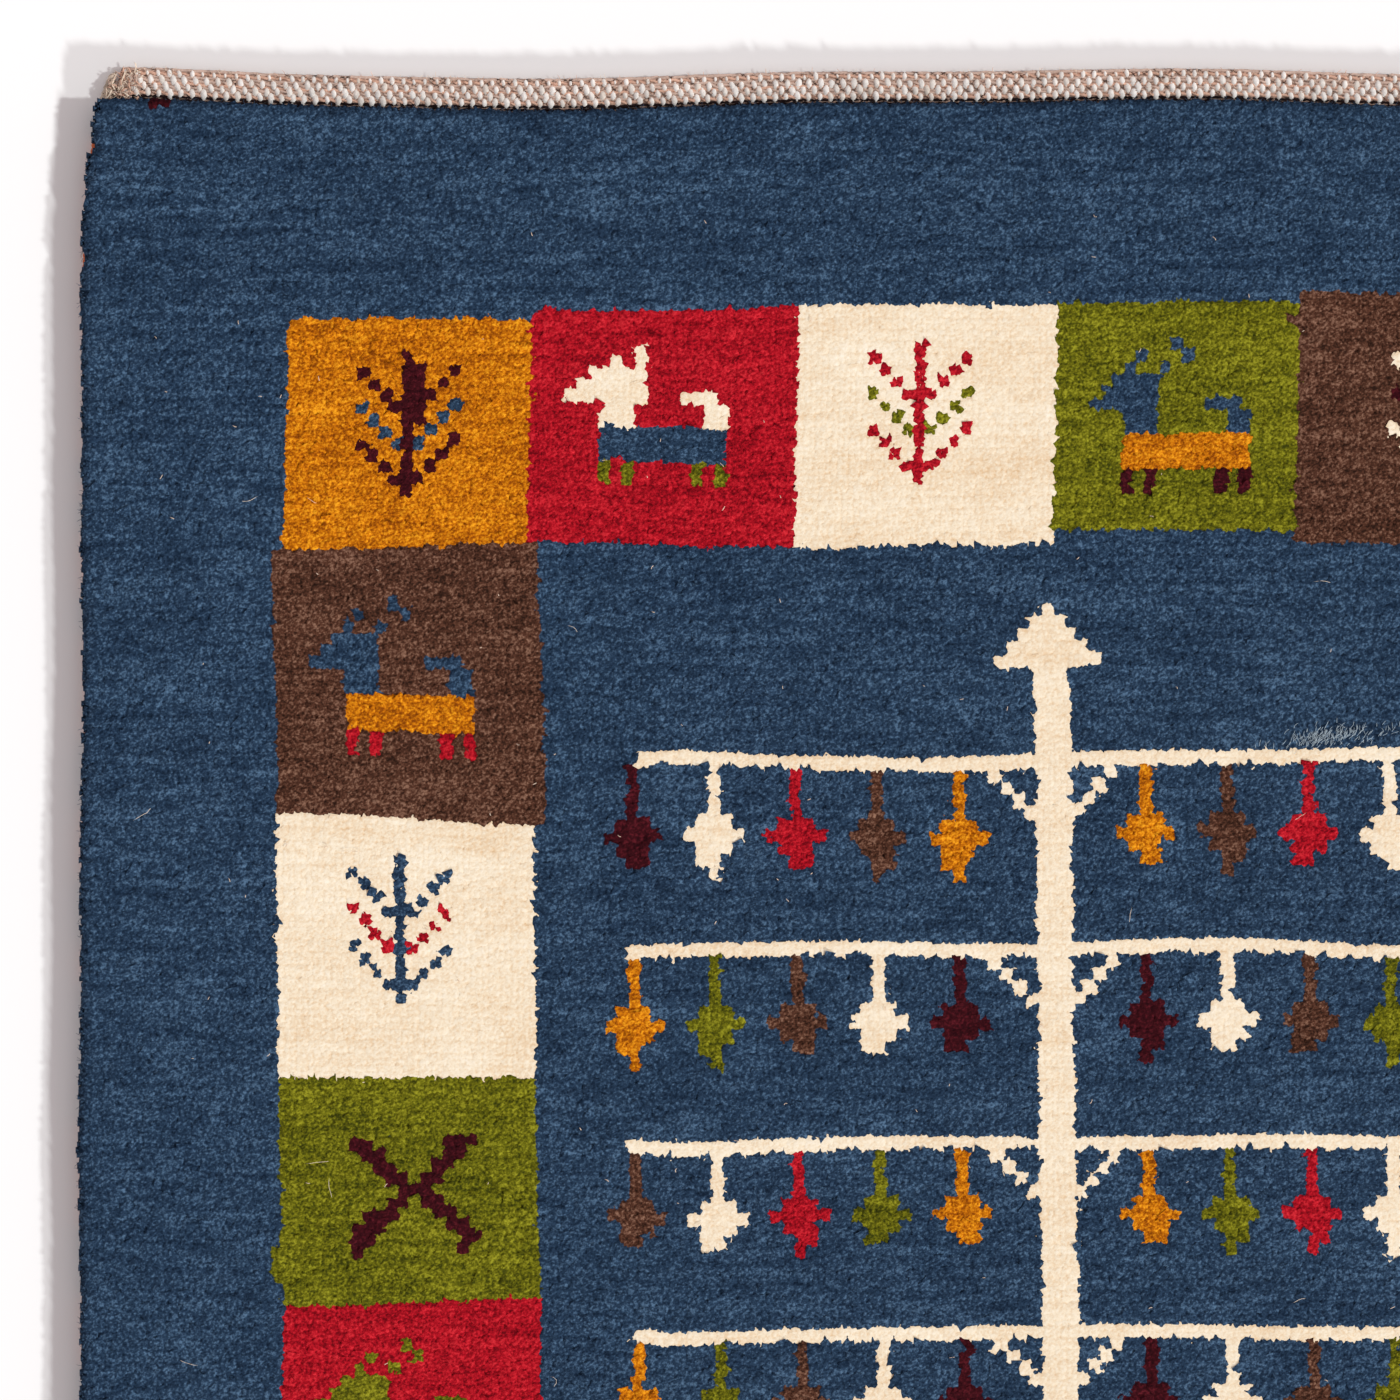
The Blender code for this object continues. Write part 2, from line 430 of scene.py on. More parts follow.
def woven_stray(x, y):
    """How the hand-beaten rows and columns wander inside the straight edges."""
    inside = (1 - np.abs(2 * x / WIDTH) ** 8) * (1 - np.abs(2 * y / LENGTH) ** 8)
    from_top = WANDER_START - y

    def turns(share):
        return 2 * math.pi * share

    dx = sum(size * np.cos(turns(from_top / length)) for size, length in COLUMN_SWAYS)
    size, middle, reach = TRUNK_SHIFT
    dx = dx + size * bell(x - middle, reach)
    size, start, length = ROW_SWAY
    dy = size * np.sin(turns((from_top - start) / length))
    size, start, length = ROW_ARCH
    dy = dy + size * np.sin(turns((x - start) / length))
    size, length_x, length_y = ROW_RIPPLE
    dy = dy + size * np.sin(turns(x / length_x + y / length_y))
    size, middle, reach = LEFT_LIFT
    dy = dy + size * (1 - np.tanh((x - middle) / reach))
    size, middle, reach = TILT
    crest, length = TILT_WAVE
    dy = dy - size * bell(x - middle, reach) * np.cos(turns((y - crest) / length)) * (x - middle)
    middle, reach = BENDS_X
    dy = dy + sum(size * bell(y - row, high) for size, row, high in ROW_BENDS) * bell(x - middle, reach)
    size, row, high = SPREAD
    middle, reach = SPREAD_X
    dy = dy + size * (y - row) * np.exp(-(((y - row) / high) ** 4)) * bell(x - middle, reach)
    return dx * inside, dy * inside


# The chart.


def letters_of(words):
    return dict(pair.split(":") for pair in words.split())


def draw(chart, motif, row, column, yarns):
    """Write a motif's letters onto the chart from its top left knot."""
    for down, line in enumerate(motif):
        for right, letter in enumerate(line):
            if letter != ".":
                chart[row + down, column + right] = NUMBER[yarns[letter]]


def wander(count, chance):
    """An edge that steps out by a knot here and there, and back."""
    steps = np.zeros(count, int)
    row = 1
    while row < count - 1:
        if rng.random() < chance:
            run = int(rng.integers(1, 4))
            steps[row : row + run] = rng.choice((-1, 1))
            row += run
        row += 1
    return steps


def draw_square(chart, rows, columns, ground):
    """A border square with slightly wandering sides."""
    left = wander(rows[1] - rows[0], 0.05)
    right = wander(rows[1] - rows[0], 0.05)
    for step, row in enumerate(range(*rows)):
        chart[row, columns[0] + min(left[step], 0) : columns[1] + max(right[step], 0)] = NUMBER[ground]


def draw_border(chart):
    squares = []
    for line in (TOP_SQUARES, BOTTOM_SQUARES):
        for number, (top, bottom, *looks) in enumerate(line):
            squares.append(((top, bottom), TOP_EDGES[number : number + 2], *looks))
    for column in (LEFT_SQUARES, RIGHT_SQUARES):
        for number, (left, right, *looks) in enumerate(column):
            squares.append((SIDE_EDGES[number : number + 2], (left, right), *looks))
    for rows, columns, ground, *_ in squares:
        draw_square(chart, rows, columns, ground)
    for _, _, _, motif, (row, column), words in squares:
        draw(chart, MOTIFS[motif], row, column, letters_of(words))


def draw_tree(chart):
    """The trunk with its arrow tip and braces, and the branches with their hanging leaves."""
    ivory = NUMBER["ivory"]
    for step in range(BARBS):
        chart[TRUNK_TOP + step, TRUNK_MIDDLE - step : TRUNK_MIDDLE + step + 1] = ivory
    for row in range(TRUNK_TOP + BARBS, TRUNK_END):
        wider = max((row - TRUNK_FOOT) // 2, 0)
        chart[row, TRUNK_MIDDLE - 1 - wider : TRUNK_MIDDLE + 2 + wider] = ivory
    for row, left_end, words in BRANCHES:
        chart[row, left_end:BRANCH_END] = ivory
        for down, left, right in BRACE:
            chart[row + down, (left, right)] = ivory
        for columns in (LEAF_COLUMNS_LEFT, LEAF_COLUMNS_RIGHT):
            for column, yarn in zip(columns, words.split()):
                draw(chart, LEAVES[rng.integers(0, len(LEAVES))], row + 1, column - 2, {"x": yarn})


def knot_chart():
    """The yarn of each knot, row by row from the end of the tree's tip."""
    chart = np.full((ROWS, COLUMNS), NUMBER["blue"])
    draw_border(chart)
    draw_tree(chart)
    chart[0, 4:6] = NUMBER["maroon"]
    return chart


# Meshes.


def make_object(name, points, groups, material, smooth=True):
    """An object from its points and groups of faces, each group an array with a row for each face."""
    mesh = bpy.data.meshes.new(name)
    mesh.vertices.add(len(points))
    mesh.vertices.foreach_set("co", np.asarray(points, np.float32).ravel())
    corners = np.concatenate([group.ravel() for group in groups]).astype(np.int32)
    sizes = np.concatenate([np.full(len(group), group.shape[1]) for group in groups])
    mesh.loops.add(len(corners))
    mesh.loops.foreach_set("vertex_index", corners)
    mesh.polygons.add(len(sizes))
    starts = np.concatenate([[0], np.cumsum(sizes)[:-1]]).astype(np.int32)
    mesh.polygons.foreach_set("loop_start", starts)
    mesh.update(calc_edges=True)
    mesh.validate()
    if smooth:
        mesh.shade_smooth()
    obj = bpy.data.objects.new(name, mesh)
    bpy.context.scene.collection.objects.link(obj)
    mesh.materials.append(material)
    return obj


def grid_faces(number):
    """Four corners for each face of a grid of point numbers, seen from above."""
    corners = (number[:-1, :-1], number[:-1, 1:], number[1:, 1:], number[1:, :-1])
    return np.stack(corners, -1).reshape(-1, 4)


def grid_rim(number):
    """The point numbers round a grid, in order."""
    return np.concatenate([number[0, :-1], number[:-1, -1], number[-1, :0:-1], number[:0:-1, 0]])


def paint(obj, name, colours, domain="POINT"):
    """Give an object a colour attribute, one RGB row for each point or corner."""
    rgba = np.ones((len(colours), 4), np.float32)
    rgba[:, : colours.shape[1]] = colours
    layer = obj.data.color_attributes.new(name, "FLOAT_COLOR", domain)
    layer.data.foreach_set("color", rgba.ravel())


def lay_map(obj, places):
    """A texture map for the object from one (u, v) for each of its points, spread over the unit square."""
    low, high = places.min(0), places.max(0)
    unit = 0.01 + 0.98 * (places - low) / (high - low)
    corners = np.empty(len(obj.data.loops), np.int32)
    obj.data.loops.foreach_get("vertex_index", corners)
    layer = obj.data.uv_layers.new(name="OFBake")
    layer.uv.foreach_set("vector", unit[corners].astype(np.float32).ravel())


def unit_vectors(vectors):
    return vectors / np.linalg.norm(vectors, axis=-1, keepdims=True)


def cross_axes(axis):
    """Two unit vectors at right angles to each axis, the first as near to X as may be."""
    along = unit_vectors(np.cross(axis, np.array([1.0, 0.0, 0.0])))
    return np.cross(along, axis), along


def spires(count, rings, sides):
    """Faces of many like spires: rings of points joined one to the next, then a fan up to one tip."""
    each = rings * sides + 1
    corner = np.arange(sides)
    after = (corner + 1) % sides
    ring = sides * np.arange(rings - 1)[:, None]
    quads = np.stack([ring + corner, ring + after, ring + sides + after, ring + sides + corner], -1)
    last = sides * (rings - 1)
    fan = np.stack([last + corner, last + after, np.full(sides, each - 1)], -1)
    start = each * np.arange(count)[:, None, None]
    return [(group + start).reshape(-1, group.shape[-1]) for group in (quads.reshape(-1, 4), fan)]


def tubes(paths, radii, sides):
    """Points and faces of pointed tubes: paths is (strands, points, 3), radii (strands, points - 1)."""
    count, steps = paths.shape[0], paths.shape[1]
    ahead = np.gradient(paths, axis=1)
    first, second = cross_axes(unit_vectors(ahead + 1e-9))
    angle = 2 * math.pi * np.arange(sides) / sides
    turn = first[:, :-1, None] * np.cos(angle)[:, None] + second[:, :-1, None] * np.sin(angle)[:, None]
    rings = paths[:, :-1, None] + turn * radii[:, :, None, None]
    body = rings.reshape(count, -1, 3)
    points = np.concatenate([body, paths[:, -1:]], 1)
    return points.reshape(-1, 3), spires(count, steps - 1, sides)


# Materials.


def new_material(name):
    """A new material, with its nodes, its links and its shader."""
    material = bpy.data.materials.new(name)
    material.use_nodes = True
    nodes, links = material.node_tree.nodes, material.node_tree.links
    return material, nodes, links, nodes["Principled BSDF"]


def fill(node, values):
    """Set a node's sockets by their names."""
    for name, value in values.items():
        node.inputs[name].default_value = value


def noise(nodes, links, scale, detail, stretch=(1, 1, 1), slant=0):
    """Noise over stretched object coordinates, in cycles a metre, its streaks slanted by degrees."""
    mapping = nodes.new("ShaderNodeMapping")
    mapping.vector_type = "TEXTURE" if slant else "POINT"
    mapping.inputs["Rotation"].default_value[2] = math.radians(slant)
    mapping.inputs["Scale"].default_value = tuple(1 / size for size in stretch) if slant else stretch
    links.new(nodes.new("ShaderNodeTexCoord").outputs["Object"], mapping.inputs["Vector"])
    texture = nodes.new("ShaderNodeTexNoise")
    fill(texture, {"Scale": scale, "Detail": detail, "Roughness": 0.6})
    links.new(mapping.outputs["Vector"], texture.inputs["Vector"])
    return texture.outputs["Fac"]


def calculate(nodes, links, operation, *values):
    """The output of a maths node, from other outputs and plain numbers."""
    node = nodes.new("ShaderNodeMath")
    node.operation = operation
    for socket, value in zip(node.inputs, values):
        if isinstance(value, float):
            socket.default_value = value
        else:
            links.new(value, socket)
    return node.outputs[0]


def weighted(nodes, links, value, weight, total):
    """total + weight * value, as a node output."""
    return calculate(nodes, links, "MULTIPLY_ADD", value, weight, total)


def painted_colour(nodes, layer):
    """The colour attribute of that name on the piece."""
    node = nodes.new("ShaderNodeVertexColor")
    node.layer_name = layer
    return node.outputs["Color"]


def roughen(nodes, links, shader, value, smoothest):
    """Vary a shader's roughness with a value, from its smoothest up to 1."""
    rough = nodes.new("ShaderNodeMapRange")
    fill(rough, {"To Min": smoothest, "To Max": 1.0})
    links.new(value, rough.inputs["Value"])
    links.new(rough.outputs["Result"], shader.inputs["Roughness"])


def emboss(nodes, links, shader, height, strength, distance):
    """Raise a shader's surface by a height."""
    bump = nodes.new("ShaderNodeBump")
    fill(bump, {"Strength": strength, "Distance": distance})
    links.new(height, bump.inputs["Height"])
    links.new(bump.outputs["Normal"], shader.inputs["Normal"])


def wool_finish(shader, sheen):
    """The dry, faintly lustrous surface of wool."""
    fill(shader, {"Specular IOR Level": 0.06, "Metallic": 0.0})
    fill(shader, {"Sheen Weight": sheen, "Sheen Roughness": 0.45})


def pile_material(name, colours, streaks, grain):
    """Clipped wool: fibre grain, tip by tip variation, painted shade at the roots and along the pile's
    ends, and the dye's slow streaks.
    """
    material, nodes, links, shader = new_material(name)
    parts = nodes.new("ShaderNodeSeparateColor")
    links.new(painted_colour(nodes, "tips"), parts.inputs["Color"])
    fibres = noise(nodes, links, FIBRES, 2.0, (0.85, 1.0, 0.5), 24)
    clumps = noise(nodes, links, CLUMPS, 2.0, (0.85, 1.0, 0.5), 16)
    mottle = noise(nodes, links, MOTTLE, 3.0, (1.0, 1.6, 0.0))
    abrash = noise(nodes, links, DYE_STREAKS, 3.0, (0.10, 1.0, 0.0))
    rows = noise(nodes, links, ROW_LINES, 1.0, (0.16, 1.0, 0.0))
    fine, coarse, single, lines = 2.35 * grain, 0.34 * grain, 0.16 * grain, 0.6 * grain
    # The tips' green channel is painted shade: it darkens their roots and the pile along its ends.
    values = (fibres, rows, clumps, parts.outputs["Red"], mottle, abrash, parts.outputs["Green"])
    weights = (fine, lines, coarse, single, 1.1 * streaks, 0.9 * streaks, -0.30 * grain)
    total = 0.5 - 0.5 * (fine + coarse + single + lines) - streaks
    for value, weight in zip(values, weights):
        total = weighted(nodes, links, value, weight, total)
    ramp = nodes.new("ShaderNodeValToRGB")
    stops = ramp.color_ramp.elements
    stops[0].position, stops[1].position = 0.0, 1.0
    stops.new(0.5)
    for stop, colour in zip(stops, colours):
        stop.color = (*linear(colour), 1.0)
    links.new(total, ramp.inputs["Fac"])
    links.new(ramp.outputs["Color"], shader.inputs["Base Color"])
    roughen(nodes, links, shader, clumps, 0.84)
    emboss(nodes, links, shader, fibres, 0.6 * grain, 0.0004)
    wool_finish(shader, 0.06)
    return material


def thread_material(name, relief):
    """Spun yarn in the colours painted on its piece, with fibre grain in light and dark."""
    material, nodes, links, shader = new_material(name)
    grain = noise(nodes, links, SPUN_GRAIN, 3.0, (1.0, 0.7, 1.0))
    patches = noise(nodes, links, SPUN_PATCHES, 2.0)
    total = weighted(nodes, links, grain, 0.7, 0.35)
    total = weighted(nodes, links, patches, 0.6, total)
    shade = nodes.new("ShaderNodeMix")
    shade.data_type = "RGBA"
    shade.blend_type = "MULTIPLY"
    fill(shade, {"Factor": 1.0})
    links.new(painted_colour(nodes, "yarn"), shade.inputs["A"])
    links.new(total, shade.inputs["B"])
    links.new(shade.outputs["Result"], shader.inputs["Base Color"])
    roughen(nodes, links, shader, patches, 0.82)
    emboss(nodes, links, shader, grain, 0.5, relief)
    wool_finish(shader, 0.06)
    return material


def ground_material():
    """The woven back: each knot shows as two small ribs of its yarn, with a weft line between rows."""
    material, nodes, links, shader = new_material("ground_weave")
    knots = nodes.new("ShaderNodeUVMap")
    knots.uv_map = "knot_grid"
    parts = nodes.new("ShaderNodeSeparateXYZ")
    links.new(knots.outputs["UV"], parts.inputs["Vector"])

    def ripple(value, cycles):
        scaled = weighted(nodes, links, value, 2 * math.pi * cycles, -math.pi / 2)
        return weighted(nodes, links, calculate(nodes, links, "SINE", scaled), 0.5, 0.5)

    ribs, rows = ripple(parts.outputs["X"], 2.0), ripple(parts.outputs["Y"], 1.0)
    both = calculate(nodes, links, "MULTIPLY", ribs, rows)
    grain = noise(nodes, links, SPUN_GRAIN, 3.0)
    height = weighted(nodes, links, grain, 0.35, both)
    weft = nodes.new("ShaderNodeMix")
    weft.data_type = "RGBA"
    fill(weft, {"A": (*linear(BACK_WEFT), 1.0)})
    shade = nodes.new("ShaderNodeMapRange")
    fill(shade, {"From Min": 0.03, "From Max": 0.30})
    links.new(height, shade.inputs["Value"])
    links.new(shade.outputs["Result"], weft.inputs["Factor"])
    links.new(painted_colour(nodes, "knots"), weft.inputs["B"])
    links.new(weft.outputs["Result"], shader.inputs["Base Color"])
    emboss(nodes, links, shader, height, 0.9, 0.0007)
    fill(shader, {"Roughness": 0.95})
    wool_finish(shader, 0.1)
    return material


# The pile.


def pile_tips(chart):
    """Four clipped wool tips for each knot: their places, the axis each points along, and their yarns."""
    rows, columns = np.mgrid[0:ROWS, 0:COLUMNS]
    places, yarns = [], []
    for right, down in TIP_OFFSETS:
        across = (columns + 0.5 + right) / COLUMNS
        along = 1 - (rows + 0.5 + down) / ROWS
        places.append(np.stack(place(across, along, TIP_INSET, PILE_START), -1).reshape(-1, 2))
        yarns.append(chart.ravel())
    flat, yarns = np.concatenate(places), np.concatenate(yarns)
    flat = flat + np.stack(woven_stray(flat[:, 0], flat[:, 1]), -1) + rng.normal(0, TIP_STRAY, flat.shape)
    x, y = flat[:, 0], flat[:, 1]
    x = x + np.where(x < 0, thinning(y) * np.exp(-(x - side_x(y, -1)) / EDGE_ZONE), 0.0)
    side = np.sign(x)
    x = x + side * ragged(y, side) * np.exp(-(WIDTH / 2 - np.abs(x)) / EDGE_ZONE)
    z = pile_height(x, y)
    slope_x = (pile_height(x + SLOPE_STEP, y) - pile_height(x - SLOPE_STEP, y)) / (2 * SLOPE_STEP)
    slope_y = (pile_height(x, y + SLOPE_STEP) - pile_height(x, y - SLOPE_STEP)) / (2 * SLOPE_STEP)
    lean = rng.normal((0, NAP_LEAN), NAP_SPREAD, (len(x), 2))
    lean = lean - NAP_FOLLOWS_SLOPE * np.stack([slope_x, slope_y], -1)
    axis = np.concatenate([lean, np.ones((len(x), 1))], 1)
    edge = np.minimum(y - end_y(x, -1), end_y(x, 1) - y) - PILE_START
    return np.stack([x, y, z], -1), axis, yarns, edge


def edge_shrink(points):
    """Smaller tips beside the pile's edges, so that they stay within its outline."""
    from_side = np.minimum(points[:, 0] - side_x(points[:, 1], -1), side_x(points[:, 1], 1) - points[:, 0])
    from_end = np.minimum(points[:, 1] - end_y(points[:, 0], -1), end_y(points[:, 0], 1) - points[:, 1])
    smallest, gain = EDGE_SIZE
    return smallest + gain * np.clip(np.minimum(from_side, from_end - PILE_START) / EDGE_ZONE, 0, 1)


def tip_mesh(name, yarn, points, axis, edge, material):
    """One piece of pile: a low four-sided tip at each place, its roots spread under its neighbours."""
    count = len(points)
    relief, unevenness, lift, painted_root_shade = BODY[yarn]
    points = points + np.array([0, 0, lift])
    points[:, 2] += unevenness * rng.normal(0, TIP_UNEVEN, count)
    axis = unit_vectors(axis * (unevenness, unevenness, 1.0))
    first, second = cross_axes(axis)
    size = (rng.uniform(*TIP_SIZES, count) * edge_shrink(points))[:, None]
    turn = rng.uniform(0, math.pi / 2, count)[:, None] + math.pi / 2 * np.arange(4)
    spread = (
        first[:, None] * (TIP_REACH_ACROSS * np.cos(turn))[:, :, None]
        + second[:, None] * (TIP_REACH_ALONG * np.sin(turn))[:, :, None]
    )
    foot = points - axis * TIP_HEIGHT * relief * rng.uniform(*TIP_HEIGHTS, (count, 1))
    ring = foot[:, None] + spread * size[:, None]
    every = np.concatenate([points[:, None], ring], 1)
    corner = np.arange(4)
    faces = np.stack([np.zeros(4, int), 1 + corner, 1 + (corner + 1) % 4], -1)
    faces = (faces[None] + 5 * np.arange(count)[:, None, None]).reshape(-1, 3)
    obj = make_object(name, every.reshape(-1, 3), [faces], material)
    # Red: a random tone for each tip. Green: painted shade, on each tip's root ring and along the pile's
    # ends.
    shade = np.zeros((count, 5, 2), np.float32)
    shade[:, :, 0] = rng.uniform(0, 1, count)[:, None]
    shade[:, 1:, 1] = painted_root_shade
    shade[:, :, 1] += np.exp(-np.maximum(edge, 0.0) / END_SHADE)[:, None]
    paint(obj, "tips", shade.reshape(-1, 2))
    lay_map(obj, every.reshape(-1, 3)[:, :2])
    return obj


def build_pile(chart, materials):
    """A piece of pile for each yarn, and three for the blue, which is most of the rug."""
    points, axis, yarns, edge = pile_tips(chart)
    third = np.digitize(points[:, 1], (-LENGTH / 6, LENGTH / 6))
    parts = [(f"pile_{name}", name, yarns == NUMBER[name]) for name in YARN_NAMES if name != "blue"]
    for number, part in enumerate(("lower", "middle", "upper")):
        parts.append((f"pile_blue_{part}", "blue", (yarns == NUMBER["blue"]) & (third == number)))
    return [
        tip_mesh(name, yarn, points[here], axis[here], edge[here], materials[yarn])
        for name, yarn, here in parts
    ]


def rim_strands(layer):
    """Where the outermost tufts stand, with their outward directions, for the outer or the inner layer."""
    rounds = []
    side_margin, end_margin = RIM_MARGINS
    for side in (-1, 1):
        stop = LENGTH / 2 - BAND_LENGTH - side_margin
        y = np.arange(-LENGTH / 2 + BAND_LENGTH + side_margin, stop, RIM_PITCH) + layer * RIM_PITCH / 2
        edge = side_x(y, side) + (thinning(y) if side < 0 else 0.0) + side * ragged(y, side)
        rounds.append((np.stack([edge, y], -1), np.array([side, 0.0])))
    for end in (-1, 1):
        x = np.arange(-WIDTH / 2 + end_margin, WIDTH / 2 - end_margin, RIM_PITCH) + layer * RIM_PITCH / 2
        rounds.append((np.stack([x, end_y(x, end) - end * PILE_START], -1), np.array([0.0, end])))
    return rounds


def build_rim(material):
    """The outermost tufts, seen from the side as strands that stand up from the ground and lean out."""
    further_in, higher = RIM_LAYER
    ripple, lean, uneven = RIM_STRAYS
    paths = []
    for layer in range(2):
        for flat, out in rim_strands(layer):
            count = len(flat)
            path = np.zeros((count, len(RIM_STATIONS), 3))
            for number, (inset, height) in enumerate(RIM_STATIONS):
                path[:, number, :2] = flat - out * (inset + further_in * layer)
                path[:, number, 2] = height + higher * layer * (number > 0)
            path[:, 1:, :2] += rng.normal(0, ripple, (count, 3, 2)) + rng.normal(0, lean, (count, 1, 2))
            path[:, 1:, 2] += rng.normal(0, uneven, (count, 1))
            paths.append(path)
    paths = np.concatenate(paths)
    radii = np.tile(RIM_RADII, (len(paths), 1)) * rng.uniform(0.85, 1.15, (len(paths), 1))
    points, faces = tubes(paths, radii, 3)
    obj = make_object("pile_rim", points, faces, material)
    shade = np.zeros((len(points), 2), np.float32)
    shade[:, 0] = np.repeat(rng.uniform(0, 1, len(paths)), len(points) // len(paths))
    # Painted shade: the strands darken towards the ground.
    shade[:, 1] = np.clip((RIM_SHADE[0] - points[:, 2]) / RIM_SHADE[1], 0, 1)
    paint(obj, "tips", shade)
    return obj


def build_core(material):
    """The close-packed roots under the tips, which keep the pile from showing the ground."""
    across, along = (np.linspace(0, 1, steps) for steps in ROOTS_GRID)
    share_x, share_y = np.meshgrid(across, along)
    x, y = place(share_x, share_y, ROOTS_INSET, BAND_LENGTH + ROOTS_INSET)
    top = np.stack([x, y, pile_height(x, y) - ROOTS_BELOW_TIPS], -1).reshape(-1, 3)
    count = len(top)
    low = top.copy()
    low[:, 2] = GROUND_THICKNESS + GAP
    number = np.arange(count).reshape(x.shape)
    quads = grid_faces(number)
    border = grid_rim(number)
    after = np.roll(border, -1)
    walls = np.stack([border + count, after + count, after, border], -1)
    points = np.concatenate([top, low])
    return make_object("pile_roots", points, [quads, quads[:, ::-1] + count, walls], material)


# The woven ground, its bands and its selvedges.


def build_ground(chart, material):
    """The woven cloth: a closed sheet whose back is divided into knots, coloured from the chart."""
    inset = SELVEDGE_INSET + SELVEDGE_WIDTH + CLOTH_GAP
    pile_share = BAND_LENGTH / LENGTH
    along = np.concatenate(
        [
            np.linspace(0, pile_share, BAND_ROWS + 1)[:-1],
            np.linspace(pile_share, 1 - pile_share, ROWS + 1),
            np.linspace(1 - pile_share, 1, BAND_ROWS + 1)[1:],
        ]
    )
    across = np.linspace(0, 1, COLUMNS + 1)
    share_x, share_y = np.meshgrid(across, along)
    x, y = place(share_x, share_y, inset, 0.0)
    dx, dy = woven_stray(x, y)
    back = np.stack([x + dx, y + dy, np.zeros(x.shape)], -1)
    number = np.arange(x.size).reshape(x.shape)
    quads = grid_faces(number)[:, [0, 3, 2, 1]]
    front = back.copy()
    front[:, :, 2] = GROUND_THICKNESS - CLOTH_BED
    edge = grid_rim(number)
    bands = (number[: BAND_ROWS + 1], number[-BAND_ROWS - 1 :])
    kept = np.unique(np.concatenate([edge, *(band.ravel() for band in bands)]))
    lifted = np.full(x.size, -1)
    lifted[kept] = x.size + np.arange(len(kept))
    points = np.concatenate([back.reshape(-1, 3), front.reshape(-1, 3)[kept]])
    band_faces = [grid_faces(lifted[band]) for band in bands]
    middle = number[BAND_ROWS:-BAND_ROWS]
    left, right = lifted[middle[:, 0]], lifted[middle[:, -1]]
    strips = np.stack([left[1:-2], right[1:-2], right[2:-1], left[2:-1]], -1)
    first = np.concatenate([lifted[middle[0]], [right[1], left[1]]])[None]
    last = np.concatenate([[left[-2], right[-2]], lifted[middle[-1, ::-1]]])[None]
    after = np.roll(edge, -1)
    walls = np.stack([edge, after, lifted[after], lifted[edge]], -1)
    faces = [quads, *band_faces, strips, first, last, walls]
    obj = make_object("ground_cloth", points, faces, material, smooth=False)
    knots = np.full((len(along) - 1, COLUMNS), -1)
    knots[BAND_ROWS:-BAND_ROWS] = chart[::-1]
    palette = np.array([linear(YARNS[name][1]) for name in YARN_NAMES] + [linear(BACK_BAND)])
    total = len(obj.data.loops)
    colours = np.tile(palette[-1], (total, 1))
    colours[: 4 * len(quads)] = np.repeat(palette[knots.ravel()], 4, axis=0)
    paint(obj, "knots", colours, "CORNER")
    layer = obj.data.uv_layers.new(name="knot_grid")
    corners = np.empty(total, np.int32)
    obj.data.loops.foreach_get("vertex_index", corners)
    source = np.concatenate([np.arange(x.size), kept])[corners]
    row_place = (share_y.ravel() - pile_share) / (1 - 2 * pile_share) * ROWS
    grid = np.stack([share_x.ravel() * COLUMNS, row_place], -1)
    layer.uv.foreach_set("vector", grid[source].astype(np.float32).ravel())
    return obj


def band_place(across, from_end, end):
    """A point on a flat-woven band: a share across, and a distance in from its outer edge."""
    y = end * (LENGTH / 2 - from_end)
    left, right = side_x(y, -1) + BAND_INSET, side_x(y, 1) - BAND_INSET
    x = left + (right - left) * across
    return x, end_y(x, end) - end * from_end


def painted(obj, yarns):
    """Paint an object of equal strands, each strand in one of the yarns' sRGB colours."""
    each = len(obj.data.vertices) // len(yarns)
    paint(obj, "yarn", np.repeat(linear(yarns), each, axis=0))
    return obj


def build_band_warps(material):
    """The ivory warps where they pass over the wefts: small ovals, staggered from row to row."""
    sides = 8
    angle = 2 * math.pi * np.arange(sides) / sides
    centres = []
    for end in (-1, 1):
        for row in range(BAND_ROWS):
            column = np.arange(COLUMNS) + 0.25 + 0.5 * (row % 2)
            from_end = BAND_PITCH * (row + 0.50) + rng.normal(0, 0.00010, len(column)) + BAND_START
            x, y = band_place(column / COLUMNS, from_end, end)
            size = rng.uniform(0.4, 0.9, COLUMNS) if row == 0 else rng.uniform(0.85, 1.15, COLUMNS)
            centres.append(np.stack([x + rng.normal(0, 0.00012, len(x)), y, size], -1))
    every = np.concatenate(centres)
    flat, size = every[:, :2], every[:, 2]
    count = len(flat)
    half_across, half_along = OVAL[0] * size, OVAL[1] * size
    bed, crest = OVAL_HEIGHTS
    tilt = rng.normal(0, 0.12, count)
    rings = []
    for reach, height in ((1.0, 0.0), (0.75, 0.62)):
        local_x = reach * half_across[:, None] * np.cos(angle)
        local_y = reach * half_along[:, None] * np.sin(angle)
        x = flat[:, :1] + local_x * np.cos(tilt)[:, None] - local_y * np.sin(tilt)[:, None]
        y = flat[:, 1:] + local_x * np.sin(tilt)[:, None] + local_y * np.cos(tilt)[:, None]
        rings.append(np.stack([x, y, np.full(x.shape, bed + (crest - bed) * height)], -1))
    top = np.concatenate([flat, np.full((count, 1), crest)], 1)[:, None]
    points = np.concatenate([*rings, top], 1).reshape(-1, 3)
    obj = make_object("band_warps", points, spires(count, len(rings), sides), material)
    ivory = np.array((255, 252, 247)) - rng.gamma(1.0, 5.0, (count, 1)) * np.array((0.8, 1.1, 1.4))
    return painted(obj, ivory)


